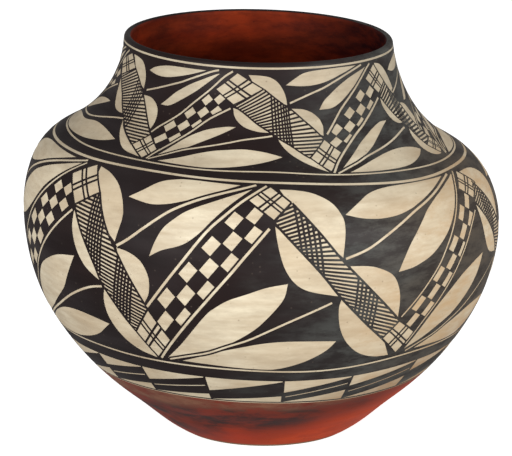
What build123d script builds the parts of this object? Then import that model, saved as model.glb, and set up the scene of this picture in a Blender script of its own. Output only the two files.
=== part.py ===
"""Pueblo pottery jar, built the way it is made: a dish pressed in a mould for the base, coils of clay lapped
one on the next and scraped thin up to the lip, and coats of white and red slip laid over the dry wall."""
import math
import os

from build123d import *

os.makedirs("parts", exist_ok=True)

# Finished outline, from the edge of the foot to the edge of the lip (millimetres)
FOOT_RADIUS = 55.0
FLANK_RADIUS = 92.0
BELLY_RADIUS = 152.5
COLLAR_RADIUS = 126.5
MOUTH_RADIUS = 85.2
FLANK_RISE = 29.0
BELLY_RISE = 112.8
COLLAR_RISE = 49.4
NECK_RISE = 62.8

# Slope of the outline at those places, in degrees from level
FOOT_SLOPE = 29.5
FLANK_SLOPE = 38.5
BELLY_SLOPE = 90.0
COLLAR_SLOPE = 154.3
LIP_SLOPE = 94.0

# Clay wall, coils (the last of them the rim) and their lapped joints
WALL = 5.0
COURSES = 8
LAP = 9.0
LIP_CROWN = 2.3

# Pressed base: a flat standing ring round a hollow, with a thicker floor
BASE_REACH = 50.0
RING_WIDTH = 8.0
HOLLOW_DEPTH = 12.0
FLOOR = 7.0
GUTTER_REACH = 20.0

# Coats of slip, with how far each reaches up the wall from the foot or down from the lip
SLIP = 0.5
BARE_FOOT = 4.0
RED_BASE_REACH = 70.0
BARE_LIP = 5.0
RED_MOUTH_REACH = 62.0

flank_height = FLANK_RISE
belly_height = flank_height + BELLY_RISE
collar_height = belly_height + COLLAR_RISE
lip_height = collar_height + NECK_RISE


def heading(slope):
    """Direction at a slope in degrees from level."""
    return Vector(math.cos(math.radians(slope)), math.sin(math.radians(slope)))


def sweeping_bend(start, start_slope, end, end_slope):
    """Two arcs, tangent to each other, that leave one point and reach the next at the given slopes."""
    leave, arrive = heading(start_slope), heading(end_slope)
    span = Vector(*end) - Vector(*start)
    closing = span.dot(leave + arrive)
    turn = 2 * (1 - leave.dot(arrive))
    reach = (math.sqrt(closing**2 + turn * span.dot(span)) - closing) / turn
    middle = (Vector(*start) + leave * reach + Vector(*end) - arrive * reach) / 2
    first = TangentArc(start, middle, tangent=leave)
    TangentArc(middle, end, tangent=first % 1)


with BuildLine() as finished:
    foot = (FOOT_RADIUS, 0)
    flank = (FLANK_RADIUS, flank_height)
    belly = (BELLY_RADIUS, belly_height)
    collar = (COLLAR_RADIUS, collar_height)
    lip = (MOUTH_RADIUS, lip_height)
    sweeping_bend(foot, FOOT_SLOPE, flank, FLANK_SLOPE)
    sweeping_bend(flank, FLANK_SLOPE, belly, BELLY_SLOPE)
    sweeping_bend(belly, BELLY_SLOPE, collar, COLLAR_SLOPE)
    sweeping_bend(collar, COLLAR_SLOPE, lip, LIP_SLOPE)

outline = finished.wires()[0]
wall_length = outline.length
bends = [0.0]
for arc in outline.edges().sort_by(outline):
    bends.append(bends[-1] + arc.length)
clay_outside = SLIP
clay_inside = SLIP + WALL
mouth_inside = clay_inside + SLIP
lip_start = wall_length - BARE_LIP


def wall_point(reach, depth):
    """Point at a distance up the wall from the foot, at a depth square under the finished surface."""
    along = outline % (reach / wall_length)
    inward = Vector(-along.Y, along.X)
    return outline @ (reach / wall_length) + inward * depth


def wall_line(start, end, depth):
    """Stretch of the wall between two distances from the foot, at one depth: an arc for each bend it crosses."""
    low, high = sorted((start, end))
    stops = [low] + [bend for bend in bends if low < bend < high] + [high]
    for here, there in zip(stops, stops[1:]):
        ThreePointArc(*[wall_point(reach, depth) for reach in (here, (here + there) / 2, there)])


def joint_ends(reach):
    """Where a lapped joint meets the outside and the inside of the clay: the outside end stands higher."""
    return reach + LAP / 2, reach - LAP / 2


# The base: a dish pressed in a mould, with its standing ring left bare of slip
base_out, base_in = joint_ends(BASE_REACH)
hollow_edge = FOOT_RADIUS - RING_WIDTH
hollow_radius = (hollow_edge**2 + HOLLOW_DEPTH**2) / (2 * HOLLOW_DEPTH)
gutter_slope = (outline % (GUTTER_REACH / wall_length)) * -1
with BuildPart() as puki_base:
    with BuildSketch(Plane.XZ):
        with BuildLine():
            RadiusArc((0, HOLLOW_DEPTH), (hollow_edge, 0), hollow_radius)
            Line((hollow_edge, 0), (FOOT_RADIUS, 0))
            wall_line(0, BARE_FOOT, 0)
            Line(wall_point(BARE_FOOT, 0), wall_point(BARE_FOOT, clay_outside))
            wall_line(BARE_FOOT, base_out, clay_outside)
            Line(wall_point(base_out, clay_outside), wall_point(base_in, clay_inside))
            wall_line(base_in, GUTTER_REACH, clay_inside)
            Spline(
                wall_point(GUTTER_REACH, clay_inside),
                (0, HOLLOW_DEPTH + FLOOR),
                tangents=[gutter_slope, (-1, 0)],
            )
            Line((0, HOLLOW_DEPTH + FLOOR), (0, HOLLOW_DEPTH))
        make_face()
    revolve(axis=Axis.Z)
puki_base.part.label = "puki_base"
export_step(puki_base.part, "parts/puki_base.step")

# The coils: rolls of clay about 15 mm thick, each pinched and scraped up to its share of the wall
course_reach = (wall_length - BASE_REACH) / COURSES
for course in range(1, COURSES):
    low_out, low_in = joint_ends(BASE_REACH + course_reach * (course - 1))
    high_out, high_in = joint_ends(BASE_REACH + course_reach * course)
    with BuildPart() as coil:
        with BuildSketch(Plane.XZ):
            with BuildLine():
                wall_line(low_out, high_out, clay_outside)
                Line(wall_point(high_out, clay_outside), wall_point(high_in, clay_inside))
                wall_line(high_in, low_in, clay_inside)
                Line(wall_point(low_in, clay_inside), wall_point(low_out, clay_outside))
            make_face()
        revolve(axis=Axis.Z)
    coil.part.label = f"coil_{course:02d}"
    export_step(coil.part, f"parts/coil_{course:02d}.step")

# The last coil ends in a rounded lip, bare of slip, that stands flush with the coats on both sides
rim_out, rim_in = joint_ends(wall_length - course_reach)
lip_outer = wall_point(wall_length, 0)
lip_inner = wall_point(wall_length, mouth_inside)
lip_top = (lip_outer + lip_inner) / 2 + (outline % 1) * LIP_CROWN
with BuildPart() as rim_coil:
    with BuildSketch(Plane.XZ):
        with BuildLine():
            wall_line(rim_out, lip_start, clay_outside)
            Line(wall_point(lip_start, clay_outside), wall_point(lip_start, 0))
            wall_line(lip_start, wall_length, 0)
            ThreePointArc(lip_outer, lip_top, lip_inner)
            wall_line(wall_length, lip_start, mouth_inside)
            Line(wall_point(lip_start, mouth_inside), wall_point(lip_start, clay_inside))
            wall_line(lip_start, rim_in, clay_inside)
            Line(wall_point(rim_in, clay_inside), wall_point(rim_out, clay_outside))
        make_face()
    revolve(axis=Axis.Z)
rim_coil.part.label = "rim_coil"
export_step(rim_coil.part, "parts/rim_coil.step")


def coat_outline(start, end, outer, inner):
    """Closed section of a coat of slip that lies on the clay between two distances up the wall."""
    wall_line(start, end, outer)
    Line(wall_point(end, outer), wall_point(end, inner))
    wall_line(end, start, inner)
    Line(wall_point(start, inner), wall_point(start, outer))


# White slip over the wall, which carries the painting
with BuildPart() as white_slip:
    with BuildSketch(Plane.XZ):
        with BuildLine():
            coat_outline(RED_BASE_REACH, lip_start, 0, clay_outside)
        make_face()
    revolve(axis=Axis.Z)
white_slip.part.label = "white_slip"
export_step(white_slip.part, "parts/white_slip.step")

# Red slip round the base, from the bare standing ring up to the white
with BuildPart() as red_base_slip:
    with BuildSketch(Plane.XZ):
        with BuildLine():
            coat_outline(BARE_FOOT, RED_BASE_REACH, 0, clay_outside)
        make_face()
    revolve(axis=Axis.Z)
red_base_slip.part.label = "red_base_slip"
export_step(red_base_slip.part, "parts/red_base_slip.step")

# Red slip inside the mouth, from the bare lip down the neck
with BuildPart() as red_mouth_slip:
    with BuildSketch(Plane.XZ):
        with BuildLine():
            coat_outline(wall_length - RED_MOUTH_REACH, lip_start, clay_inside, mouth_inside)
        make_face()
    revolve(axis=Axis.Z)
red_mouth_slip.part.label = "red_mouth_slip"
export_step(red_mouth_slip.part, "parts/red_mouth_slip.step")
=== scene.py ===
"""Painted pueblo jar: a coil-built pot, its slips and its black painting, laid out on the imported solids."""

import bmesh
import bpy
import numpy as np
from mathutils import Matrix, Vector
from mathutils.bvhtree import BVHTree
from mathutils.geometry import delaunay_2d_cdt


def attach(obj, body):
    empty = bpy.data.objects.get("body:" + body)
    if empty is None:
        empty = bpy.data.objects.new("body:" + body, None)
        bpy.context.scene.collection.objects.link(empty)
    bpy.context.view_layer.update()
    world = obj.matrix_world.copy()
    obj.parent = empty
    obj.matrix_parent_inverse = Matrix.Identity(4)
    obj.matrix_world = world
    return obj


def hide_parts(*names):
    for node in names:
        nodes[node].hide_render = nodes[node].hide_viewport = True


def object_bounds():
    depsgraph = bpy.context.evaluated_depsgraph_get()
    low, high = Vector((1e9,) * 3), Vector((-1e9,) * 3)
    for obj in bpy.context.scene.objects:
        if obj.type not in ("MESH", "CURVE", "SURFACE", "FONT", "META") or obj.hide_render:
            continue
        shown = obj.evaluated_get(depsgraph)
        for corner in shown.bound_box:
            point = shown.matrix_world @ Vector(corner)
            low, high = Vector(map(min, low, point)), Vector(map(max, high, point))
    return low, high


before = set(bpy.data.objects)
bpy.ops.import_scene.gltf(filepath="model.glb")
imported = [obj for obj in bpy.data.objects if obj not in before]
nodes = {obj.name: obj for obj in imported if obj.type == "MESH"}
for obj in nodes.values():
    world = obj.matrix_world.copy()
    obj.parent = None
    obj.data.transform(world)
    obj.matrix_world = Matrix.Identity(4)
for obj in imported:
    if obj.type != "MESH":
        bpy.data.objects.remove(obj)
cad_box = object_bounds()

# The wall as one piece of hand-built clay
# Coils scraped thin by hand never stand quite true: this jar leans to the left, its right shoulder has
# settled and its mouth nods to the front. Every piece below is laid out on this one wall, so they all lean
# together.
LIP_CROWN = 0.0023
SCRAPE = 0.003
LEAN = -0.0041
SHOULDER_DIP = -0.0544
RIM_DIP = -0.0236
RIM_NOD = 0.024
DIP_STARTS, DIP_DEEPEST, NOD_STARTS = 0.35, 0.78, 0.84
LEVELS, JUST_INSIDE, WALL_STEP = 600, 0.0001, 0.0005

jar_height = cad_box[1][2]
outer_solids = [nodes[name].data for name in ("puki_base", "red_base_slip", "white_slip", "rim_coil")]
outer_faces = [
    BVHTree.FromPolygons([v.co for v in solid.vertices], [f.vertices for f in solid.polygons])
    for solid in outer_solids
]


def outermost(height):
    """Radius of the solids at a height: the farthest hit of a level ray sent in towards the axis."""
    hits = [faces.ray_cast(Vector((1, 0, height)), Vector((-1, 0, 0)))[0] for faces in outer_faces]
    return max(place.x for place in hits if place)


def scraped(values, spread):
    """Values along the wall averaged with a bell-shaped weight. Each end is carried on straight."""
    reach = int(4 * spread)
    bell = np.exp(-0.5 * (np.arange(-reach, reach + 1) / spread) ** 2)
    before = 2 * values[0] - values[reach:0:-1]
    after = 2 * values[-1] - values[-2 : -reach - 2 : -1]
    return np.convolve(np.concatenate([before, values, after]), bell / bell.sum(), "valid")


def run_length(across, up):
    """Distance along a line of points from its first point."""
    return np.concatenate([[0], np.cumsum(np.hypot(np.diff(across), np.diff(up)))])


levels = np.linspace(JUST_INSIDE, jar_height - LIP_CROWN - 2 * JUST_INSIDE, LEVELS)
rough_radius = np.array([outermost(level) for level in levels])
rough_reach = run_length(rough_radius, levels)
even = np.arange(0, rough_reach[-1], WALL_STEP)
wall_radius = scraped(np.interp(even, rough_reach, rough_radius), SCRAPE / WALL_STEP)
wall_height = scraped(np.interp(even, rough_reach, levels), SCRAPE / WALL_STEP)
wall_reach = run_length(wall_radius, wall_height)
wall_length = wall_reach[-1]
rise_out, rise_up = np.gradient(wall_radius, wall_reach), np.gradient(wall_height, wall_reach)
belly_share = wall_height[np.argmax(wall_radius)] / jar_height


def ease(value, start, end):
    """Smooth step: 0 before start, 1 after end, level at both."""
    t = np.clip((value - start) / (end - start), 0, 1)
    return t * t * (3 - 2 * t)


def hand_built(radius, height, angle):
    """Place on the leaning jar of a point of the true round one: moved across by the lean, and up by the tilt
    at its height times its place across and deep. The angle runs anticlockwise from the front."""
    share = height / jar_height
    across = radius * np.sin(angle) + LEAN * (share - belly_share)
    dip = SHOULDER_DIP * ease(share, DIP_STARTS, DIP_DEEPEST)
    dip = dip + (RIM_DIP - SHOULDER_DIP) * ease(share, DIP_DEEPEST, 1.0)
    deep = -radius * np.cos(angle)
    nod = RIM_NOD * ease(share, NOD_STARTS, 1.0)
    return np.stack([across, deep, height + dip * across + nod * deep], -1)


def section(reach, depth):
    """Radius and height of points given by distance up the wall and depth square under its surface."""
    out_r, out_z = np.interp(reach, wall_reach, rise_up), -np.interp(reach, wall_reach, rise_out)
    radius = np.interp(reach, wall_reach, wall_radius) - depth * out_r
    height = np.interp(reach, wall_reach, wall_height) - depth * out_z
    beyond = reach - np.clip(reach, 0, wall_length)
    return radius - beyond * out_z, height + beyond * out_r


# Base pressed in a mould
# A thick dish of grey-buff clay with a hollow underneath, pressed into a saucer that carried the jar while
# it was built. It stands on the ring round the hollow, worn smooth and left bare.
CLAY, SLIP = 0.005, 0.0005
HOLLOW_DEPTH, RING_WIDTH = 0.012, 0.008
HOLLOW_ROWS, RING_ROWS, OFF_AXIS = 40, 3, 1e-5
BASE_REACH, LAP, GUTTER_REACH, BARE_FOOT = 0.050, 0.009, 0.020, 0.004
COLUMNS = 320
SHARP_CORNER = np.radians(40)
GRAIN_DEPTH = 0.0004


def strip(start, end, depth, spacing=0.002):
    """Points of a stretch of wall at one depth, as rows of reach and depth."""
    count = max(2, int(abs(end - start) / spacing) + 1)
    return np.stack([np.linspace(start, end, count), np.full(count, depth)])


def placed(name, data):
    """New object in the scene."""
    thing = bpy.data.objects.new(name, data)
    bpy.context.scene.collection.objects.link(thing)
    return thing


def skin(name, radius, height, closed=True):
    """Section carried round the axis: each row of the grid is one point of the section at every angle, or a
    line that wavers with the angle. A closed section comes back to its first row, an open one runs pole to
    pole."""
    angle = np.linspace(0, 2 * np.pi, COLUMNS, endpoint=False)
    rows = len(radius)
    places = hand_built(radius.reshape(rows, -1), height.reshape(rows, -1), angle)
    index = np.arange(rows * COLUMNS).reshape(rows, COLUMNS)
    low = index if closed else index[:-1]
    high = np.roll(index, -1, 0) if closed else index[1:]
    faces = np.stack([low, np.roll(low, -1, 1), np.roll(high, -1, 1), high], -1).reshape(-1, 4)
    mesh = bpy.data.meshes.new(name)
    mesh.from_pydata(places.reshape(-1, 3).tolist(), [], faces.tolist())
    if not closed:
        work = bmesh.new()
        work.from_mesh(mesh)
        bmesh.ops.remove_doubles(work, verts=work.verts, dist=1e-6)
        work.to_mesh(mesh)
        work.free()
    mesh.shade_smooth()
    mesh.set_sharp_from_angle(angle=SHARP_CORNER)
    return placed(name, mesh)


def dress(piece, material, slot, *replaced):
    """Gives a piece its finish, and puts it on the jar in place of the solids it stands for. The slot is not
    used.
    """
    piece.data.materials.append(material)
    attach(piece, "root")
    if replaced:
        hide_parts(*replaced)


def tint(red, green, blue):
    """Shader colour of a tint given as it is seen, from 0 to 255."""
    seen = np.array([red, green, blue]) / 255
    shade = np.where(seen <= 0.04045, seen / 12.92, ((seen + 0.055) / 1.055) ** 2.4)
    return (*shade.tolist(), 1.0)


def add_node(tree, kind, inputs, **settings):
    """Outputs of a new node. An input, by its name or number, takes a value or the output of another node."""
    node = tree.nodes.new(kind)
    for name, value in settings.items():
        setattr(node, name, value)
    for socket, value in inputs.items():
        if isinstance(value, bpy.types.NodeSocket):
            tree.links.new(value, node.inputs[socket])
        else:
            node.inputs[socket].default_value = value
    return node.outputs


def worked_out(tree, operation, *inputs):
    """Result of arithmetic on values or outputs of nodes."""
    return add_node(tree, "ShaderNodeMath", dict(enumerate(inputs)), operation=operation)["Value"]


def noise(tree, place, scale, detail, roughness=0.5):
    """Noise at a place."""
    inputs = {"Vector": place, "Scale": scale, "Detail": detail, "Roughness": roughness}
    return add_node(tree, "ShaderNodeTexNoise", inputs)["Fac"]


def ranged(tree, value, low, high, ends=(0.0, 1.0), **settings):
    """Value carried from its range between low and high to the range between two ends."""
    inputs = {"Value": value, "From Min": low, "From Max": high, "To Min": ends[0], "To Max": ends[1]}
    return add_node(tree, "ShaderNodeMapRange", inputs, **settings)["Result"]


def stretched(tree, place, scale):
    """Place measured with another scale along each axis."""
    return add_node(tree, "ShaderNodeMapping", {"Vector": place, "Scale": scale})["Vector"]


def new_group(name, inputs, outputs):
    """Node group with named outputs, and inputs given with their usual values. Gives the group, its inputs as
    they arrive inside it, and the place on the piece."""
    group = bpy.data.node_groups.new(name, "ShaderNodeTree")
    for label, value in inputs.items():
        socket = group.interface.new_socket(label, in_out="INPUT", socket_type="NodeSocketFloat")
        socket.default_value = value
    for label in outputs:
        group.interface.new_socket(label, in_out="OUTPUT", socket_type="NodeSocketFloat")
    return group, add_node(group, "NodeGroupInput", {}), add_node(group, "ShaderNodeTexCoord", {})["Object"]


def fired_surface():
    """Node group of what the fire and the hand leave on every finish of the jar: broad clouds, level strokes
    of the rag or brush, and small specks, each as a mask, with the grain of the surface as a height."""
    group, given, place = new_group(
        "fired_surface",
        {"Cloud Scale": 14.0, "Stroke Scale": 60.0, "Speck Scale": 260.0, "Speck Size": 0.12},
        ("Cloud", "Stroke", "Speck", "Grain"),
    )
    cloud = noise(group, place, given["Cloud Scale"], detail=5)
    stroke = noise(group, stretched(group, place, (0.22, 0.22, 1.6)), given["Stroke Scale"], detail=6)
    speck = add_node(group, "ShaderNodeTexVoronoi", {"Vector": place, "Scale": given["Speck Scale"]})
    chance = add_node(group, "ShaderNodeSeparateColor", {"Color": speck["Color"]})["Red"]
    few = worked_out(group, "GREATER_THAN", chance, 0.6)
    dot = ranged(group, speck["Distance"], 0.0, given["Speck Size"], ends=(1.0, 0.0))
    add_node(group, "NodeGroupOutput", {
        "Cloud": ranged(group, cloud, 0.36, 0.66), "Stroke": ranged(group, stroke, 0.34, 0.68),
        "Speck": worked_out(group, "MULTIPLY", dot, few), "Grain": noise(group, place, 420, detail=4),
    })
    return group


def fire_wear_and_light_drift():
    """Node group of a change that grows from one side of the jar: marks of fire and wear, and also painted
    shade and painted sheen. Its mask grows along a slant across and up the jar, from its start to its end in
    metres, times blotches of noise. Even is its share between blotches, and Ragged is how far in metres its
    edge strays. With the usual values there are blotches everywhere."""
    group, given, place = new_group(
        "fire_wear_and_light_drift",
        {"Across": 0.0, "Up": 0.0, "Start": -1.0, "End": -0.5, "Even": 0.0, "Ragged": 0.0},
        ("Drift",),
    )
    axes = add_node(group, "ShaderNodeSeparateXYZ", {"Vector": place})
    across = worked_out(group, "MULTIPLY", axes["X"], given["Across"])
    slant = worked_out(group, "MULTIPLY_ADD", axes["Z"], given["Up"], across)
    level = stretched(group, place, (1.0, 1.0, 3.0))
    stray = worked_out(group, "SUBTRACT", noise(group, level, 11, detail=6), 0.5)
    edge = worked_out(group, "MULTIPLY_ADD", stray, given["Ragged"], slant)
    mask = ranged(group, edge, given["Start"], given["End"], interpolation_type="SMOOTHSTEP")
    blotch = noise(group, level, 40, detail=9, roughness=0.7)
    patchy = ranged(group, blotch, 0.42, 0.6, ends=(given["Even"], 1.0))
    add_node(group, "NodeGroupOutput", {"Drift": worked_out(group, "MULTIPLY", mask, patchy)})
    return group


fired, drifted = fired_surface(), fire_wear_and_light_drift()


def finish(name, base, cloud, stroke, speck, roughness, scales, grain, gloss, drifts=()):
    """Material of one fired finish: a base tint changed in turn by cloud, stroke, drift and speck tints, each
    given with the share it takes at its strongest, over the grain of the surface. The scales are those of
    clouds, strokes and specks, and the size of a speck. A drift also says where it lies: some drifts are
    marks of fire and wear, some are painted shade and painted sheen."""
    material = bpy.data.materials.new(name)
    material.use_nodes = True
    tree = material.node_tree
    scale_names = "Cloud Scale", "Stroke Scale", "Speck Scale", "Speck Size"
    marks = add_node(tree, "ShaderNodeGroup", dict(zip(scale_names, scales)), node_tree=fired)
    masks = [(marks["Cloud"], *cloud), (marks["Stroke"], *stroke)]
    for tone, share, where in drifts:
        inputs = {label.title(): value for label, value in where.items()}
        drift = add_node(tree, "ShaderNodeGroup", inputs, node_tree=drifted)["Drift"]
        masks.append((drift, tone, share))
    masks.append((marks["Speck"], *speck))
    colour = tint(*base)
    for mask, tone, share in masks:
        tones = {"Factor": worked_out(tree, "MULTIPLY", mask, share), "A": colour, "B": tint(*tone)}
        colour = add_node(tree, "ShaderNodeMix", tones, data_type="RGBA")["Result"]
    relief = {"Height": marks["Grain"], "Strength": grain, "Distance": GRAIN_DEPTH}
    shader = tree.nodes["Principled BSDF"].inputs
    shader["Specular IOR Level"].default_value = gloss
    tree.links.new(colour, shader["Base Color"])
    tree.links.new(ranged(tree, marks["Stroke"], 0.0, 1.0, ends=roughness), shader["Roughness"])
    tree.links.new(add_node(tree, "ShaderNodeBump", relief)["Normal"], shader["Normal"])
    return material


bare_clay = finish(
    "bare_clay", (150, 118, 88), cloud=((112, 84, 62), 0.5), stroke=((172, 142, 110), 0.35),
    speck=((70, 50, 38), 0.6), roughness=(0.7, 0.85), scales=(22.0, 90.0, 240.0, 0.2), grain=0.35, gloss=0.3,
)
foot_radius = wall_radius[0]
hollow_edge = foot_radius - RING_WIDTH
across = np.linspace(0, 1, HOLLOW_ROWS)
hollow = np.stack([hollow_edge * across, HOLLOW_DEPTH * (1 - across**2)])
ring = np.stack([np.linspace(hollow_edge, foot_radius, RING_ROWS + 2)[1:-1], np.zeros(RING_ROWS)])
wall_reaches, wall_depths = np.hstack([
    strip(0, BARE_FOOT, 0), strip(BARE_FOOT, BASE_REACH + LAP / 2, SLIP),
    strip(BASE_REACH - LAP / 2, GUTTER_REACH, SLIP + CLAY),
])
outside = np.stack(section(wall_reaches, wall_depths))
gutter_radius = outside[0, -1]
floor_radius = gutter_radius * (1 - across[1:])
from_above = [Vector((radius + OFF_AXIS, 0, jar_height)) for radius in floor_radius]
floor_hits = [outer_faces[0].ray_cast(start, Vector((0, 0, -1)))[0] for start in from_above]
floor_line = np.stack([floor_radius, [place.z for place in floor_hits]])
base = skin("base_dish", *np.hstack([hollow, ring, outside, floor_line]), closed=False)
dress(base, bare_clay, "clay", "puki_base")

# Coils of the wall
# Ropes of clay laid on the base one above the other, each lapped over the one below, pinched together and
# scraped to an even wall with a gourd rind. Inside the jar each course still shows as a faint swelling.
SWELLING = 0.0004

coil_names = sorted(name for name in nodes if name.startswith("coil_"))
course_reach = (wall_length - BASE_REACH) / (len(coil_names) + 1)


def course(start, end):
    """Section of one coil: up its outer face, across the slanting joint, and down its inner face, which
    swells in the middle of the course by half a wave."""
    outer = strip(start + LAP / 2, end + LAP / 2, SLIP)
    inner = strip(end - LAP / 2, start - LAP / 2, SLIP + CLAY)
    inner[1] += SWELLING * np.sin(np.linspace(0, np.pi, inner.shape[1]))
    return np.hstack([outer, inner])


for place, name in enumerate(coil_names):
    start = BASE_REACH + place * course_reach
    coil = skin(name.replace("coil", "course"), *section(*course(start, start + course_reach)))
    dress(coil, bare_clay, "clay", name)

# Rim
# The last coil, pinched up and rounded over with a strip of wet hide into the lip. Its bare edge is painted
# black.
BARE_LIP = 0.0003
LIP_ROWS = 16
PINCH, PINCHED_REACH = 0.27, 0.02


def pinched(reach, depth):
    """Rows of reach and depth with the wall pinched thinner towards the lip."""
    return reach, depth * (1 - PINCH * ease(reach, wall_length - PINCHED_REACH, wall_length))


rim_start = wall_length - course_reach
lip_turn = np.linspace(0, np.pi, LIP_ROWS)
lip_half = SLIP + CLAY / 2
lip_bare = strip(wall_length - BARE_LIP, wall_length, 0)
lip_over = np.stack([
    wall_length + LIP_CROWN * np.sin(lip_turn[1:-1]),
    lip_half * (1 - np.cos(lip_turn[1:-1])),
])
lip_under = strip(wall_length, wall_length - BARE_LIP, CLAY + 2 * SLIP)
rim = skin("rim", *section(*pinched(*np.hstack([
    strip(rim_start + LAP / 2, wall_length - BARE_LIP, SLIP), lip_bare, lip_over, lip_under,
    strip(wall_length - BARE_LIP, rim_start - LAP / 2, SLIP + CLAY),
]))))
dress(rim, bare_clay, "clay", "rim_coil")

# White slip
# Fine white clay in water, wiped over the dry wall in many thin coats and rubbed with a smooth stone. The
# fire has warmed it to cream. It ends under the red at the foot and under the black at the lip.
WHITE_STARTS = 0.064

cream_slip = finish(
    "cream_slip", (220, 208, 182), cloud=((184, 160, 128), 0.5), stroke=((174, 152, 122), 0.42),
    speck=((92, 66, 46), 0.55), roughness=(0.45, 0.62), scales=(18.0, 190.0, 230.0, 0.17),
    grain=0.2, gloss=0.2,
    drifts=[
        ((146, 126, 102), 0.26, {}),
        # Painted shade: a darker brown that comes in at the lower right of the belly.
        ((140, 104, 80), 0.6, dict(across=1.0, up=-2.2, start=-0.08, end=-0.03, even=0.5, ragged=0.03)),
        # A greyer tint towards the neck.
        ((150, 138, 118), 0.5, dict(up=1.0, start=0.18, end=0.225, even=0.75, ragged=0.1)),
        ((214, 166, 106), 0.55, dict(across=1.0, up=-0.5, start=-0.04, end=0.12, even=0.35, ragged=0.16)),
    ],
)
white_ends = wall_length - BARE_LIP
white = skin("white_coat", *section(*np.hstack([
    strip(WHITE_STARTS, white_ends, 0), strip(white_ends, WHITE_STARTS, SLIP, spacing=0.004),
])))
dress(white, cream_slip, "white_slip", "white_slip")

# Red slip round the base
# Red iron clay wiped round the lower wall in one broad band. Its upper edge was drawn freehand against the
# white, and the fire has clouded it from orange to smoky brown.
PROUD = 0.0001
ROUNDING = np.radians(5)
RED_ROWS, RED_BACK_ROWS = 30, 14

turn = np.linspace(0, 2 * np.pi, COLUMNS, endpoint=False)


def wavering(*readings):
    """Level line drawn freehand: its distance up the wall at every column of the jar, through readings of
    angle in degrees and reach in millimetres, closed round the back and rounded off as a hand would."""
    at, reach = np.array(readings).T
    line = np.interp(np.degrees(turn), at, reach, period=360) / 1000
    near = np.exp(-0.5 * (np.minimum(turn, 2 * np.pi - turn) / ROUNDING) ** 2)
    return np.fft.irfft(np.fft.rfft(line) * np.fft.rfft(near / near.sum()), COLUMNS)


def between(low, high, count):
    """Rows of a band from one wavering line to another, evenly spaced."""
    return low + (high - low) * np.linspace(0, 1, count)[:, None]


red_edge = wavering(
    (-60, 75), (-35, 74), (-20, 73), (0, 71.5), (15, 70), (28, 69), (60, 70), (120, 73), (180, 71),
    (240, 72),
)
red_slip = finish(
    "red_slip", (194, 58, 24), cloud=((120, 46, 34), 0.7), stroke=((196, 76, 34), 0.3),
    speck=((50, 28, 22), 0.6), roughness=(0.42, 0.6), scales=(12.0, 60.0, 210.0, 0.14),
    grain=0.15, gloss=0.1,
    drifts=[
        ((230, 84, 36), 0.75, dict(across=0.5, up=-1.0, start=-0.02, end=0.03, even=0.4, ragged=0.05)),
        ((60, 40, 38), 1.0, dict(across=-0.45, up=1.8, start=0.012, end=0.05, even=0.65, ragged=0.06)),
        ((146, 96, 72), 0.75, dict(across=-0.05, up=1.0, start=0.034, end=0.043, even=0.1, ragged=0.016)),
    ],
)
foot_line = np.full(COLUMNS, BARE_FOOT)
red_out, red_in = between(foot_line, red_edge, RED_ROWS), between(red_edge, foot_line, RED_BACK_ROWS)
red_rows = np.vstack([red_out, red_in])
red_depth = np.vstack([np.full_like(red_out, -PROUD), np.full_like(red_in, SLIP)])
red_base = skin("red_base_coat", *section(red_rows, red_depth))
dress(red_base, red_slip, "red_slip", "red_base_slip")

# Red slip inside the mouth
# The same red clay wiped round the inside of the neck as far as a hand reaches. It is a darker red than the
# base, and towards the right of the mouth it is painted darker still: painted shade inside the neck.
RED_MOUTH_REACH = 0.062
BLACK_OVER_LIP = 0.76 * np.pi
LIP_TUCK = 0.0002

mouth_red = finish(
    "mouth_red", (136, 42, 14), cloud=((58, 13, 9), 0.85), stroke=((136, 52, 18), 0.45),
    speck=((44, 14, 10), 0.6), roughness=(0.5, 0.7), scales=(24.0, 50.0, 230.0, 0.16),
    grain=0.25, gloss=0.1,
    drifts=[
        ((40, 8, 6), 0.5, {}),
        # Painted shade: much darker towards the right of the mouth's inner wall.
        ((24, 3, 7), 1.0, dict(across=1.0, start=0.0, end=0.075, even=0.8, ragged=0.09)),
    ],
)


def over_lip(turns, proud):
    """Rows of reach and of depth over the round of the lip, by the angle turned from its outer edge."""
    reach = wall_length + (LIP_CROWN + proud) * np.sin(turns)
    depth = lip_half - (lip_half + proud) * np.cos(turns)
    return np.repeat(reach[:, None], COLUMNS, 1), np.repeat(depth[:, None], COLUMNS, 1)


red_turn = lip_turn[lip_turn >= BLACK_OVER_LIP - lip_turn[1]]
mouth_rows = [
    strip(wall_length - RED_MOUTH_REACH, wall_length - BARE_LIP, SLIP + CLAY),
    strip(wall_length - BARE_LIP, wall_length - LIP_TUCK, CLAY + 2 * SLIP - PROUD),
    np.stack([rows[:, 0] for rows in over_lip(red_turn[::-1], -2 * PROUD)]),
    np.stack([rows[:, 0] for rows in over_lip(red_turn, PROUD)]),
    strip(wall_length - LIP_TUCK, wall_length - RED_MOUTH_REACH, CLAY + 2 * SLIP + PROUD),
]
red_mouth = skin("red_mouth_coat", *section(*pinched(*np.hstack(mouth_rows))))
dress(red_mouth, mouth_red, "red_slip", "red_mouth_slip")

# Black bands that frame the painting
# Boiled plant juice ground with iron rock, laid on with a chewed yucca leaf and turned black by the fire.
# Bands run round the lip and the shoulder. The thin lines of cream beside them are slip that was left plain.
PAINT = 0.00013
PAINT_FOOT = 0.0003
RIM_GAP, NECK_GAP, SHOULDER_GAP = 0.00065, 0.00065, 0.0010
BAND_ROWS, LIP_BAND_ROWS = 8, 6

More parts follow.
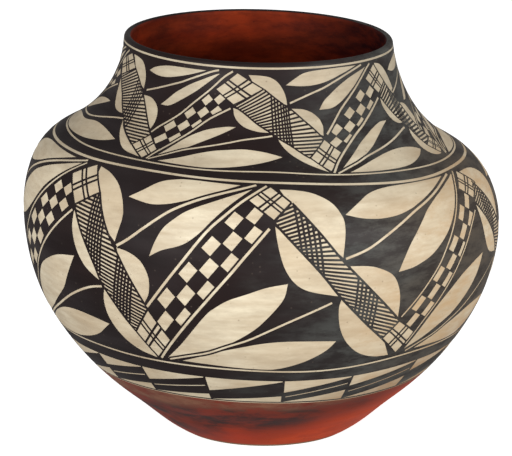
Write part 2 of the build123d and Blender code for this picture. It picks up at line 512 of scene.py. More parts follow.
black_paint = finish(
    "black_paint", (36, 26, 25), cloud=((46, 42, 43), 0.5), stroke=((18, 12, 12), 0.5),
    speck=((96, 84, 74), 0.5), roughness=(0.4, 0.6), scales=(18.0, 60.0, 220.0, 0.16),
    grain=0.15, gloss=0.1,
    drifts=[
        # Painted sheen and wear: the black turns grey, then warm brown, towards the right side of the jar,
        # partly the soft reflection of the lamps there and partly paint worn thin.
        ((94, 96, 92), 0.58, dict(across=1.0, up=-0.1, start=-0.03, end=0.07, even=0.25, ragged=0.16)),
        ((88, 74, 60), 0.65, dict(across=1.0, up=-0.1, start=0.04, end=0.13, even=0.3, ragged=0.12)),
    ],
)
rim_line = wavering(
    (-70, 315.4), (-20, 315.3), (10, 315.4), (50, 315.2), (120, 314.4), (180, 314.2), (240, 314.4),
)
neck_line = wavering(
    (-80, 241.7), (-60, 240), (-40, 241.4), (-15, 241.9), (4, 245.3), (12, 244), (20, 242.4), (40, 241),
    (60, 239.6), (120, 241.5), (180, 240.5), (240, 242),
)
shoulder_line = wavering(
    (-80, 232), (-52, 232.4), (-32, 234.7), (-12, 234.7), (8, 235.5), (25, 233.6), (42, 231.3), (53, 231.3),
    (64, 233), (120, 232.5), (180, 234), (240, 232.6),
)


def painted_band(name, low, high):
    """Closed skin of a band of paint between two wavering lines, standing proud of the slip."""
    out, back = between(low, high, BAND_ROWS), between(high, low, BAND_ROWS)
    depth = np.vstack([np.full_like(out, -PAINT), np.full_like(back, PAINT_FOOT)])
    band = skin(name, *section(np.vstack([out, back]), depth))
    dress(band, black_paint, "black_paint")


painted_band("shoulder_band_paint", shoulder_line + SHOULDER_GAP, neck_line - NECK_GAP)
black_turn = lip_turn[lip_turn < BLACK_OVER_LIP]
lip_low = between(rim_line + RIM_GAP, np.full(COLUMNS, wall_length), LIP_BAND_ROWS)[:-1]
top_rows, top_depths = over_lip(black_turn, PAINT)
foot_rows, foot_depths = over_lip(black_turn[::-1], -PAINT_FOOT)
lip_rows = np.vstack([lip_low, top_rows, foot_rows, lip_low[::-1]])
lip_depths = np.vstack([
    np.full_like(lip_low, -PAINT), top_depths, foot_depths, np.full_like(lip_low, PAINT_FOOT),
])
lip_paint = skin("lip_paint", *section(*pinched(lip_rows, lip_depths)))
dress(lip_paint, black_paint, "black_paint")

# Painting of the belly
# Black ground painted freehand round shapes that stay cream. A zigzag of checkered bands that rise and
# hatched bands that fall goes six times round, with leaves from its points. Three repeats are drawn as the
# front of the jar shows them, and come round once more on its back.
HEM_GAP = 0.00075
TILE, TILES = 180.0, 2
MM_A_DEGREE = 2.5
SQUARES_ACROSS = 3
CROSSING_PAIRS, CROSSING_ENDS = ((0.385, 0.45), (0.54, 0.605)), (-0.02, 1.02)
HATCH_STARTS, HATCH_ENDS, HATCH_REACH = -0.2, 1.2, 9
NET_SPACING, NET_MERGE, INSIDE_ONLY = 5.0, 1e-4, 1


def along(line, angle):
    """Value of a wavering line at angles in degrees."""
    return np.interp(np.radians(angle), turn, line, period=2 * np.pi)


def freehand(points, spacing=2.2):
    """Smooth stroke through points: cubic pieces, whose direction at a point is from the one before to the
    one after it. A degree counts as two and a half millimetres."""
    points = np.array(points, float)
    ends = np.vstack([2 * points[0] - points[1], points, 2 * points[-1] - points[-2]])
    slope = (ends[2:] - ends[:-2]) / 2
    gap = np.diff(points, axis=0) * [MM_A_DEGREE, 1]
    count = np.maximum(1, (np.hypot(*gap.T) / spacing).astype(int))
    piece = np.repeat(np.arange(len(count)), count)
    t = ((np.arange(len(piece)) - np.repeat(np.cumsum(count) - count, count)) / count[piece])[:, None]
    curve = (2 * t**3 - 3 * t**2 + 1) * points[piece] + (t**3 - 2 * t**2 + t) * slope[piece]
    curve = curve + (3 * t**2 - 2 * t**3) * points[piece + 1] + (t**3 - t**2) * slope[piece + 1]
    return np.vstack([curve, points[-1:]])


def finely(outline, spacing=3.0):
    """Outline with points added so that none of its sides is long enough to cut through the curved wall."""
    ahead = np.roll(outline, -1, 0)
    count = np.maximum(1, np.ceil(np.hypot(*(ahead - outline).T) / spacing).astype(int))
    side = np.repeat(np.arange(len(count)), count)
    share = (np.arange(len(side)) - np.repeat(np.cumsum(count) - count, count)) / count[side]
    return outline[side] + (ahead - outline)[side] * share[:, None]


def shape(*edges):
    """Closed outline of freehand edges that meet at corners, each starting where the one before it ends."""
    return np.vstack([freehand(edge)[:-1] for edge in edges])


def leaf(tip, upper, root, lower):
    """Leaf from its tip along the upper edge to the root, and back along the lower edge."""
    return shape([tip, *upper, root], [root, *lower, tip])


def lobe(under, *bow):
    """Lobe that hangs on the side of a band: a bowed edge, closed through a place hidden under the band."""
    return shape(bow, [bow[-1], under, bow[0]])


def patch(corners, across, up):
    """Places in a four-sided patch, by shares across and up between its corners: low left, low right, high
    right, high left."""
    low_left, low_right, high_right, high_left = (np.array(corner, float) for corner in corners)
    across, up = np.array(across)[:, None], np.array(up)[:, None]
    low = low_left + (low_right - low_left) * across
    return low + (high_left + (high_right - high_left) * across - low) * up


def cell(corners, left, right, low, high):
    """Small four-sided piece of a patch."""
    return patch(corners, [left, right, right, left], [low, low, high, high])


def climb(side, shares):
    """Places along a line of points, by shares of its length."""
    angle, reach = np.array(side, float).T
    run = run_length(angle * MM_A_DEGREE, reach)
    return np.stack([np.interp(shares, run / run[-1], angle), np.interp(shares, run / run[-1], reach)], -1)


def checkers(left, right, rows, shrink, inset=0.035):
    """Cream squares of a checkered band three squares wide between two sides: the middle one in even rows,
    the outer two in odd. The rows grow shorter on the way up, by a share of the middle one."""
    edges = np.concatenate([[0], np.cumsum(np.linspace(1 + shrink, 1 - shrink, rows))]) / rows
    squares = []
    for row in range(rows):
        ends = edges[row] + inset / rows, edges[row + 1] - inset / rows
        corners = [*np.stack([climb(left, ends), climb(right, ends)], 1).reshape(4, 2)[[0, 1, 3, 2]]]
        for column in (1,) if row % 2 == 0 else (0, 2):
            near, far = (column + inset) / SQUARES_ACROSS, (column + 1 - inset) / SQUARES_ACROSS
            squares.append(cell(corners, near, far, 0, 1))
    return squares


class Register:
    """One painted band of the wall, drawn flat and laid on the jar. Places are read on the front of the jar,
    as an angle in degrees and a reach up the wall in millimetres. A shape stands in the repeat where it was
    read, which is 0, and in the repeats to the left and right of it that it is given, counted from there."""

    def __init__(self, low, high, bottoms, tops, width, tall):
        self.low, self.high, self.start = low, high, bottoms[0]
        self.width, self.tall = width, tall
        round_jar = TILE * np.arange(-1, 3)[:, None]
        self.bottoms = (np.array(bottoms) + round_jar).ravel()
        self.tops = (np.array(tops) + round_jar).ravel()
        self.shapes = []

    def middles(self, height):
        """Angles of the middle lines of the zigzag at a share of its height: each rises from a bottom point
        to the top point after it, and the next falls from there to the following bottom point."""
        low, high = self.bottoms[:, None], self.tops[:-1, None]
        rising = low[:-1] + (high - low[:-1]) * height
        falling = low[1:] + (high - low[1:]) * height
        return np.stack([rising, falling], 1).reshape(-1, height.size)

    def flat(self, points, repeat):
        """Places on the flat drawing in millimetres. In another repeat, a point keeps its share of the way
        between the middle lines beside it, and of the way up the band."""
        angle, reach = np.array(points, float).T
        low, high = along(self.low, angle), along(self.high, angle)
        height = (reach / 1000 - low) / (high - low)
        if repeat:
            lines = self.middles(np.clip(height, 0.01, 0.99))
            left, point = (angle >= lines).sum(0) - 1, np.arange(angle.size)
            share = (angle - lines[left, point]) / (lines[left + 1, point] - lines[left, point])
            left = left + 2 * repeat
            angle = lines[left, point] + share * (lines[left + 1, point] - lines[left, point])
        return np.stack([(angle - self.start) * self.width, height * self.tall], -1)

    def draw(self, kind, *outlines, repeats=(0,)):
        """Adds closed outlines."""
        scale = np.array([MM_A_DEGREE, 1])
        for outline in outlines:
            fine = finely(outline * scale) / scale
            for repeat in repeats:
                self.shapes.append((kind, finely(self.flat(fine, repeat))))

    def stroke(self, kind, points, width, repeats=(0,)):
        """Adds a line of even width through points."""
        for repeat in repeats:
            middle = self.flat(freehand(points), repeat)
            ahead = np.gradient(middle, axis=0)
            side = np.stack([-ahead[:, 1], ahead[:, 0]], -1) / np.hypot(*ahead.T)[:, None] * width / 2
            self.shapes.append((kind, finely(np.vstack([middle + side, (middle - side)[::-1]]))))

    def line(self, points, width, margin, repeats=(0,)):
        """Adds a cream line with a black margin that parts it from the shapes beside it."""
        self.stroke("ink", points, width + 2 * margin, repeats)
        self.stroke("line", points, width, repeats)

    def block(self, corners, line, repeats=(0,)):
        """Adds a cream block where two bands meet, in a black outline, crossed by two pairs of lines."""
        self.draw("cream", cell(corners, 0, 1, 0, 1), repeats=repeats)
        for low, high in CROSSING_PAIRS:
            crossing = cell(corners, low, high, *CROSSING_ENDS), cell(corners, *CROSSING_ENDS, low, high)
            self.draw("ink", *crossing, repeats=repeats)
        for side in zip(corners, corners[1:] + corners[:1]):
            self.stroke("ink", side, line, repeats)

    def hatch(self, left, right, slants, gap, crossings, line, repeats=(0,)):
        """Adds a hatched band between its two sides, from the top down: thin lines a gap apart up and down,
        whose slants, in millimetres a degree, change on the way. Steeper lines, given by their two ends,
        cross them."""
        band = shape(left, [left[-1], right[-1]], right[::-1], [right[0], left[0]])
        self.draw("hatched", band, repeats=repeats)
        top, foot = np.add(left[0], right[0]) / 2, np.add(left[-1], right[-1]) / 2
        run, fall = foot - top
        share = HATCH_STARTS
        while share < HATCH_ENDS:
            slant = np.interp(share, np.linspace(0, 1, len(slants)), slants)
            middle, reach = top + (foot - top) * share, np.array([HATCH_REACH, HATCH_REACH * slant])
            self.stroke("hatching", [middle - reach, middle, middle + reach], line, repeats)
            share += gap / (run * slant - fall)
        for crossing in crossings:
            self.stroke("hatching", crossing, line, repeats)

    def painted(self):
        """Black triangles of the drawing: a Delaunay net over all the outlines and a grid that keeps to the
        curve of the wall. Cream lies over the black ground, ink over cream, cream lines over ink, and
        hatching counts only in the hatched band."""
        wide, tall = TILE * self.width, self.tall
        columns, rows = int(wide / NET_SPACING), max(2, int(tall / NET_SPACING))
        x, y = np.linspace(0, wide, columns + 1), np.linspace(0, tall, rows + 1)
        frame_line = np.vstack([
            np.stack([x[:-1], 0 * x[:-1]], -1), np.stack([0 * y[:-1] + wide, y[:-1]], -1),
            np.stack([x[:0:-1], 0 * x[:0:-1] + tall], -1), np.stack([0 * y[:0:-1], y[:0:-1]], -1),
        ])
        points, faces, kinds = [frame_line], [np.arange(len(frame_line))], ["ground"]
        count = len(frame_line)
        for kind, outline in self.shapes:
            first = int(np.floor(outline[:, 0].min() / wide))
            last = int(np.floor(outline[:, 0].max() / wide))
            for copy in range(first, last + 1):
                moved = outline - [copy * wide, 0]
                ahead = np.roll(moved, -1, 0)
                turning = (moved[:, 0] * ahead[:, 1] - moved[:, 1] * ahead[:, 0]).sum()
                points.append(moved if turning > 0 else moved[::-1])
                faces.append(np.arange(count, count + len(moved)))
                kinds.append(kind)
                count += len(moved)
        inner = np.stack(np.meshgrid(x[1:-1], y[1:-1]), -1).reshape(-1, 2)
        every = np.vstack([*points, inner])
        corners, rings = [Vector(place) for place in every.tolist()], [face.tolist() for face in faces]
        net = delaunay_2d_cdt(corners, [], rings, INSIDE_ONLY, NET_MERGE)
        places = np.array([tuple(place) for place in net[0]])
        black = []
        for triangle, sources in zip(net[2], net[5]):
            found = {kinds[source] for source in sources}
            cream = "cream" in found or "hatched" in found
            lined = "ink" in found or {"hatched", "hatching"} <= found
            if "ground" in found and "line" not in found and (lined or not cream):
                black.append(triangle)
        return places, np.array(black)

    def carried(self, spread, height):
        """Angle and reach on the jar of places on the drawing, by degrees along it and share of height."""
        angle = self.start + spread
        low, high = along(self.low, angle), along(self.high, angle)
        return np.radians(angle), low + (high - low) * height

    def paint(self, name):
        """Lays the black triangles on the jar, once for each time round, as one closed thin sheet."""
        places, black = self.painted()
        used, black = np.unique(black, return_inverse=True)
        places, black = places[used], black.reshape(-1, 3)
        shift = np.arange(TILES)[:, None]
        spread = (places[:, 0] / self.width + TILE * shift).ravel()
        height = np.tile(places[:, 1] / self.tall, TILES)
        faces = (black[None] + len(places) * shift[:, :, None]).reshape(-1, 3)
        fine_angle, fine_height = 1e4, 1e6
        whole_turn = round(TILE * TILES * fine_angle)
        keys = np.stack([np.round(spread * fine_angle) % whole_turn, np.round(height * fine_height)], -1)
        _, first, same = np.unique(keys, axis=0, return_index=True, return_inverse=True)
        faces = same.ravel()[faces]
        faces = faces[(faces != np.roll(faces, 1, 1)).all(1)]
        angle, reach = self.carried(spread[first], height[first])
        top = hand_built(*section(reach, -PAINT), angle)
        foot = hand_built(*section(reach, PAINT_FOOT), angle)
        nudge = 1e-4
        sideways = hand_built(*section(reach, -PAINT), angle + nudge) - top
        upwards = hand_built(*section(reach + nudge, -PAINT), angle) - top
        normal = np.cross(sideways, upwards)
        normal /= np.linalg.norm(normal, axis=1)[:, None]
        count = len(top)
        edges = np.concatenate([faces[:, [0, 1]], faces[:, [1, 2]], faces[:, [2, 0]]])
        ahead, back = edges[:, 0] * count + edges[:, 1], edges[:, 1] * count + edges[:, 0]
        rim_edges = edges[~np.isin(ahead, back)]
        near, far = rim_edges.T
        sides = np.stack([far, near, near + count, far + count], -1)
        under = faces[:, ::-1] + count
        mesh = bpy.data.meshes.new(name)
        every_face = faces.tolist() + under.tolist() + sides.tolist()
        mesh.from_pydata(np.vstack([top, foot]).tolist(), [], every_face)
        mesh.shade_smooth()
        mesh.normals_split_custom_set_from_vertices(np.vstack([normal, -normal]).tolist())
        dress(placed(name, mesh), black_paint, "black_paint")


hem_line = wavering(
    (-50, 111.3), (-35.5, 109.1), (-20, 107.9), (-6, 106.6), (5.5, 104.8), (15.5, 103.5), (25.5, 104.8),
    (34.5, 106.6), (43.6, 108.2), (90, 108), (150, 106.5), (210, 108.5), (270, 110),
)
belly = Register(
    hem_line + HEM_GAP,
    shoulder_line - SHOULDER_GAP,
    (-84.5, -27.5, 38.5), (-48, 2.3, 63.5), width=2.5, tall=124.0,
)
belly.draw(
    "cream",
    leaf((-33.5, 214), [(-30, 220), (-26.6, 226.8), (-23, 230.4), (-17.7, 232.2)],
         (-4.9, 231.6), [(-8.4, 227.7), (-12, 223.7), (-16, 219.3), (-19.5, 216), (-23, 213.4),
                         (-27.4, 212)]),
    repeats=(0, -1),
)
belly.draw(
    "cream",
    leaf((-26.2, 181.6), [(-24.9, 190.2), (-23.1, 198.7), (-20.6, 205), (-17, 211.7), (-9.1, 221)],
         (-1.8, 229.2), [(-5.6, 221), (-8.8, 213.4), (-11.6, 205.9), (-14.1, 198.7), (-17, 192.5),
                         (-19.5, 189.3), (-23.1, 186.2)]),
    leaf((-88.5, 176.5), [(-84, 192), (-80, 201), (-75.2, 208.8), (-71.3, 212.9), (-66.9, 217),
                          (-61.3, 221.3)],
         (-52.4, 228.2), [(-56.9, 220.6), (-61.3, 212.2), (-65.2, 204.6), (-71.3, 190.7), (-76.9, 182.8),
                          (-82.4, 178.9)]),
)
belly.line(
    [(-35, 184.5), (-32, 189.3), (-28.4, 196.5), (-24.9, 203.6), (-21.3, 210.3), (-16, 217.5),
     (-10.6, 223.3), (-5, 228.5), (-0.9, 232.5)],
    width=1.6, margin=1.2, repeats=(0, -1),
)
belly.draw(
    "cream",
    leaf((20.6, 212.3), [(25, 220), (29, 226), (35, 229.2), (45, 229.7)],
         (57, 229.5), [(50, 222.5), (45, 217), (40, 213), (35, 209.7), (30, 208.5), (25, 209.5)]),
    leaf((33, 173), [(34.5, 181), (36.5, 189.5), (39, 197), (42, 205), (45, 211.5), (52, 220.5)],
         (62, 229), [(57, 215), (54, 206.5), (51.5, 199), (49, 192.5), (46, 186), (43, 180.5), (40, 177),
                     (37, 174.5)]),
)
belly.line(
    [(19.5, 185), (25, 190), (30, 197), (35, 204), (40, 210.5), (45, 215.5), (50, 220.5), (55, 225.5),
     (60, 229.8)],
    width=1.5, margin=1.5,
)
belly.draw(
    "cream",
    leaf((6, 170.4), [(1.2, 167.9), (-3.4, 163.4), (-7.7, 159), (-10.9, 153.6), (-13.4, 147.8),
                      (-20.2, 126.4)],
         (-25.5, 112.5), [(-16.6, 120.1), (-12, 123.7), (-7.7, 129), (-3.4, 136.2), (0.1, 144.2),
                          (4.8, 159.4)]),
    leaf((65.2, 170), [(60.4, 166.6), (55, 160.3), (50, 150), (47.6, 144), (45.4, 137), (42.6, 125.5)],
         (39.8, 113), [(45, 119), (50, 126), (55, 133), (60, 145), (63, 155), (64.5, 164)]),
    leaf((-48.9, 172.2), [(-55, 169.7), (-60, 165.5), (-66, 158), (-71, 146), (-77, 128)],
         (-82.5, 112.5), [(-74, 120), (-66, 131), (-58.7, 143), (-55.3, 149.7), (-53, 157.2),
                          (-50.7, 165.5)]),
    leaf((-40.7, 132.5), [(-45, 134.5), (-50, 135.8), (-55, 135.6), (-60, 133), (-66, 127), (-73, 118.5)],
         (-79, 112.5), [(-70, 111.8), (-60, 112.6), (-55, 114.5), (-50, 118), (-46, 122.5), (-43, 128)]),
)
belly.draw(
    "cream",
    leaf((18.3, 128.6), [(12.6, 129.8), (5.5, 130.4), (0, 129.1), (-5.2, 126), (-10.6, 122), (-16, 116.6)],
         (-21.5, 111.5), [(-14, 110.2), (-7, 108.5), (0, 107.2), (3.7, 107.5), (8.4, 110.8), (12.6, 115.7),
                          (16.2, 122)]),
    repeats=(0, 1),
)
belly.line(
    [(-24.9, 111.7), (-19.5, 116), (-14.1, 120), (-8.8, 126), (-3.4, 131.7), (1.9, 138.9), (7.3, 146),
     (16.3, 156.8)],
    width=1.4, margin=1.1, repeats=(0, 1),
)
belly.line(
    [(-81, 112.8), (-72, 122), (-62, 133.8), (-57, 140.5), (-52, 147.2), (-47, 153), (-43.3, 156.3),
     (-40.3, 157.8)],
    width=1.4, margin=1.1,
)
belly.draw(
    "cream",
    lobe((10, 208), (5, 229.8), (9.1, 229.5), (13.4, 227.3), (17.3, 221.5), (19.4, 213.9), (20.1, 205),
         (18.9, 185.8)),
    lobe((25, 160), (20.5, 180.3), (25, 179.3), (28, 177), (31.3, 172), (33, 165), (34, 155), (34.3, 141)),
    lobe((12, 186), (3.4, 205.4), (3.7, 197.8), (4.4, 188), (5.5, 179), (7.6, 170.6), (10.9, 165.2),
         (18, 160.8)),
    lobe((28, 138), (18.5, 158.5), (18, 152), (18.7, 139), (21, 127), (25, 117), (30, 111.7), (35, 110.5)),
    repeats=(0, 1),
)
belly.draw(
    "cream",
    lobe((-43, 204), (-46.3, 229), (-42, 226.5), (-38, 221), (-35.5, 214), (-34.2, 206.5), (-34, 200),
         (-35.5, 186.5)),
    lobe((-33, 166), (-35, 183.5), (-31.5, 182), (-28.5, 178), (-26.8, 171), (-26.5, 165), (-27, 158),
         (-28.3, 152.5)),
    lobe((-43, 182), (-49.5, 198.5), (-49.5, 188), (-48, 177), (-45.5, 168.5), (-42.5, 163.5),
         (-40.2, 160.8)),
    lobe((-32, 136), (-39.5, 157.5), (-40.4, 150), (-40.3, 140), (-39, 131), (-36.5, 122), (-33, 115.5),
         (-28.6, 111.5)),
)
for left, right, squares, shrink, width in (
    ([(-81, 158), (-77.5, 170), (-74.1, 178.9), (-71.3, 186.5), (-65.2, 201.1), (-58, 216.1),
      (-54.7, 222.6), (-51.9, 228.2)],
     [(-84.2, 112), (-78, 133), (-71.3, 150), (-69.7, 155.3), (-64.1, 169.2), (-59.1, 180.3),
      (-54.7, 189.3), (-50.2, 198.3)],
     ([(-80, 159.3), (-67.4, 192.9), (-55.6, 217.6)], [(-73.6, 145.2), (-61.3, 179.6), (-49.4, 204.4)]),
     0.2, 1.4),
    ([(-27.8, 150), (-24.6, 160), (-21.5, 170), (-18.4, 180), (-12.4, 200), (-8.5, 210), (-4.3, 220),
      (1.8, 232.2)],
     [(-27.4, 111.7), (-23.1, 125.5), (-17.7, 142.5), (-14.1, 153.6), (-7, 175.5), (-3.4, 187.1),
      (2.1, 204)],
     ([(-27.9, 146.8), (-3.6, 221.2)], [(-22.2, 127.1), (3.6, 210)]),
     0.1, 1.6),
    ([(35.4, 140.4), (40.6, 156), (45.7, 172.8), (48.2, 183), (52.3, 197.6), (56.4, 211.5), (60.4, 223),
      (63.7, 230.2)],
     [(39.7, 117.5), (43.2, 133.4), (47, 146.8), (51.5, 163.3), (55.6, 179.1), (59.4, 191.8), (63.2, 201)],
     ([(35.2, 135.7), (59.7, 217.8)], [(40.8, 127.1), (64.6, 208.7)]),
     0.0, 1.2),
):
    belly.draw("cream", *checkers(*squares, rows=9, shrink=shrink))
    for side in (left, right):
        belly.line(side, width, margin=1.1)
for left, right, slants, gap, crossings, repeats in (
    ([(3.3, 207.5), (6.6, 197.8), (9.8, 188.4), (13, 178.6), (15.1, 171.5), (18.7, 159), (25.3, 140),
      (30.9, 126.3)],
     [(7.9, 220.2), (10.9, 210.8), (14.1, 200.5), (18.7, 184.4), (23.1, 171.3), (28.1, 157), (35, 138)],
     [1.1, 0.7, -0.1, -0.5, -0.8, -1.0, -1.0],
     2.6,
     [((9.9 + 1.08 * k, 175), (8.2 + 1.2 * k, 219)) for k in range(5)]
     + [((21.8 + 1.08 * k, 136), (22.6 + 1.08 * k, 174)) for k in range(6)],
     (0, 1)),
    ([(-49.6, 201), (-46.9, 190), (-44.3, 180), (-42, 170), (-40.2, 160), (-37.5, 150), (-34.9, 140),
      (-32.5, 131)],
     [(-42.2, 212.5), (-39.8, 200), (-37.5, 190), (-34.8, 180), (-32.5, 170), (-30.2, 160),
      (-27.7, 148.7)],
     [-0.2, -0.4, -0.65, -0.9, -1.05],
     2.45,
     [((-45 + 0.92 * k, 165), (-43.2 + 0.92 * k, 214)) for k in range(6)]
     + [((-38.3 + 0.95 * k, 138), (-34.4 + 0.95 * k, 181)) for k in range(6)],
     (0,)),
):
    belly.hatch(left, right, slants, gap, crossings, line=1.35, repeats=repeats)
    for side in (left, right):
        belly.stroke("ink", side, width=1.4, repeats=repeats)
for corners, repeats in (
    ([(-3.2, 221.3), (3.2, 208.7), (7.7, 220.5), (2.8, 232)], (0,)),
    ([(-54.8, 218.8), (-49.7, 201.5), (-42.2, 212.5), (-47.8, 230)], (0,)),
    ([(59.7, 218), (64.7, 208.2), (70.5, 217), (65.3, 229.8)], (0,)),
    ([(-32.5, 131), (-28.2, 112), (-22.8, 127), (-27.7, 148.5)], (0, -1)),
    ([(31, 126), (37.3, 110.8), (41.3, 126.3), (35.1, 137.8)], (0,)),
):
    belly.block(corners, line=1.2, repeats=repeats)
belly.paint("belly_paint")

# Painting of the neck
# The same zigzag and leaves drawn smaller between the neck line and the rim line, six times round and a
# little to the left of those below.
neck = Register(
    neck_line + NECK_GAP, rim_line - RIM_GAP, (-108.5, -35.6, 21.4), (-67.5, -8, 52.8), width=2.0, tall=70.0
)
neck.draw(
    "cream",
    leaf((-50.8, 305.5), [(-48.3, 308), (-45, 309.8), (-40.8, 311.2), (-34.6, 311.9)],
         (-21.7, 312), [(-29.2, 308), (-33.7, 306), (-38.3, 304.2), (-42.9, 303.4), (-47, 303.9)]),
    leaf((-40, 284.6), [(-37.5, 289.3), (-34.6, 294.5), (-31.2, 298.7), (-27, 302.9), (-17.9, 309.8)],
         (-15.8, 310.7), [(-18.3, 307.5), (-21.7, 302.9), (-25, 298.2), (-28.3, 294), (-31.2, 290.4),
                          (-34.2, 286.7), (-36.7, 284.6)]),
    repeats=(0, -1),
)
neck.line(
    [(-49.8, 291.7), (-45, 294.5), (-40.8, 297.1), (-36.7, 299.7), (-32.5, 302.3), (-28.3, 305.5),
     (-20, 311.2), (-16.2, 313)],
    width=1.2, margin=0.9, repeats=(0, -1),
)
neck.draw(
    "cream",
    leaf((11, 304.8), [(15, 309), (19, 312.2), (25, 313.4), (35, 313.8)],
         (47, 313.4), [(42, 312), (36, 309.5), (31, 307), (26, 305), (21, 304), (16, 304)]),
    leaf((23.5, 288.3), [(25.9, 293.4), (29.1, 297.4), (33.6, 302), (38.2, 305.6), (42.7, 308.2)],
         (50.5, 311.6), [(46.8, 307), (43.2, 302.5), (39.5, 298.5), (35.9, 294.6), (32.3, 291.2),
                         (28.6, 288.9)]),
)
neck.line(
    [(12, 293.1), (16.8, 296.3), (21.4, 299.1), (26.8, 302), (32.3, 305.4), (38.2, 308.8), (43.2, 311.3),
     (47.7, 313.3)],
    width=1.2, margin=0.9,
)
neck.draw(
    "cream",
    leaf((-8.3, 276.1), [(-11.7, 275.8), (-16.7, 273.7), (-20.8, 270.6), (-24.6, 265.9), (-27.9, 259.6),
                         (-30.8, 252.3)],
         (-33.8, 244.5), [(-31.2, 247.1), (-27.5, 252.9), (-23.3, 258.6), (-19.2, 263.8), (-15, 268.5),
                          (-10.8, 273.2)]),
    repeats=(0, -1),
)
neck.draw(
    "cream",
    leaf((7.2, 256.8), [(4.1, 258.8), (0, 260.5), (-5, 261.2), (-9.6, 260.1), (-15, 258), (-20, 254.4),
                        (-24.2, 250.3)],
         (-31, 244), [(-20, 243.8), (-15, 244.2), (-9.6, 246), (-5, 248.2), (0, 251.2), (4.1, 254.2)]),
    leaf((53.4, 276.7), [(49.5, 276.7), (45, 274.1), (40.5, 270.1), (35.9, 265), (31.4, 258.2),
                         (27.3, 251.4)],
         (23.2, 243.8), [(26.8, 246.8), (31.4, 252), (35.9, 257), (40.5, 262.2), (45, 267.9), (49.5, 273)]),
    leaf((61.6, 253.1), [(58.6, 255.9), (54.1, 257.6), (48.6, 257.6), (43.2, 255.9), (38.2, 253.1),
                         (33.6, 249.7)],
         (26.8, 243.8), [(31.4, 243.4), (38.2, 243.1), (44.1, 243.1), (49.5, 244), (54.1, 246.3),
                         (58.6, 249.7)]),
    leaf((-51.2, 252.5), [(-54.2, 254.4), (-58.3, 256.7), (-63.7, 258.4), (-70, 258.4), (-79, 255),
                          (-90, 253.6), (-99, 249.5)],
         (-105, 243.6), [(-92, 243), (-80, 243), (-70, 243.8), (-63.7, 245), (-58.3, 247.1),
                         (-54.2, 249.7)]),
)
neck.line(
    [(-34.2, 244), (-30.4, 249.2), (-25, 255.5), (-20, 259.1), (-15, 262.2), (-9.6, 265.4), (-5, 268),
     (4.5, 271.5)],
    width=1.15, margin=0.9,
)
neck.line(
    [(23, 243.4), (26.8, 247.4), (31.4, 251.4), (35.9, 255.4), (40.5, 258.2), (49.5, 263.1), (58.6, 268.1),
     (62.3, 269.6)],
    width=1.15, margin=0.9,
)
neck.line(
    [(-106.4, 244.8), (-102, 251), (-96, 255.4), (-88, 257), (-79, 258.6), (-70, 262.2), (-65, 264.6),
     (-59.6, 266.9), (-55, 268.2)],
    width=1.15, margin=0.9,
)
neck.draw(
    "cream",
    lobe((1, 299.5), (-4, 311), (1, 310.8), (5, 309.6), (8, 306.3), (10, 301), (10.8, 296), (10.9, 291.8)),
    lobe((16, 279), (12.5, 289.6), (17, 289), (20.5, 286.5), (23, 282), (23.6, 278), (22.8, 271.5)),
    lobe((-2, 284), (-9.8, 288.8), (-8.9, 282.4), (-5.6, 276.7), (-0.6, 273.9), (4.4, 273.6)),
    lobe((14, 263), (5.7, 272.2), (7.5, 265), (10, 259), (14, 252.5), (18, 247.5), (20.5, 244.6)),
    lobe((60, 299), (56.5, 312.3), (60.3, 311), (63.4, 307.8), (65.9, 303.2), (67.4, 297.7), (67.8, 292.2),
         (66.8, 288.5)),
    lobe((71, 272), (68.8, 284), (71.5, 283.3), (74, 281.3), (75.6, 276.6), (76.2, 271.1), (75.3, 264.9),
         (73.6, 262)),
    lobe((61, 284), (55.3, 290.5), (54.9, 286), (55.9, 280.5), (57.4, 275.8), (60.3, 273), (63.4, 272.7)),
    lobe((68, 262), (65, 268.5), (63.4, 264.1), (62.8, 257.8), (63.1, 252.4), (64.6, 247.7), (67.1, 244.9),
         (70.3, 244.3)),
    lobe((-59, 299), (-64.5, 312), (-60, 311.5), (-56, 309.5), (-53.5, 304.5), (-52.2, 299), (-51.7, 292)),
    lobe((-47, 278), (-50.2, 288), (-46, 287.7), (-42.5, 284.5), (-40.3, 279.5), (-39.5, 272.5),
         (-40, 266.5)),
    lobe((-63, 282), (-73, 292.5), (-70.5, 284), (-67, 277), (-64, 273), (-60, 271.3), (-56.6, 271.6)),
    lobe((-45, 257), (-54.8, 267.7), (-53, 261), (-50, 254.5), (-46.5, 249), (-43, 246), (-37.5, 244.2)),
)
for left, right, squares, shrink, repeats in (
    ([(-39, 264.5), (-36.7, 270), (-30.6, 280), (-25.6, 289.8), (-19.4, 300), (-14.2, 308.6),
      (-10.4, 312.8)],
     [(-34.8, 244), (-32.9, 251.3), (-28.3, 261.7), (-25, 268), (-19.6, 277.9), (-16.2, 282.5),
      (-10.8, 288.3)],
     ([(-38.6, 264.4), (-17.2, 301.6)], [(-33.3, 252.5), (-10.6, 291.2)]),
     0.1, (0, -1)),
    ([(24.3, 272.4), (26.8, 277), (30.5, 283.8), (34.1, 289.5), (42.7, 300.2), (47.3, 306), (50.9, 310.5),
      (53.2, 312.8)],
     [(21.8, 244), (24.5, 252), (27.7, 258.8), (31.4, 265), (35.9, 271.3), (40.5, 276.4), (45, 281.5),
      (54.1, 291.2)],
     ([(21.8, 269.6), (48.7, 303.5)], [(27.5, 259.1), (55.2, 292.6)]),
     0.0, (0,)),
):
    neck.draw("cream", *checkers(*squares, rows=7, shrink=shrink), repeats=repeats)
    for side in (left, right):
        neck.line(side, width=1.3, margin=0.9, repeats=repeats)
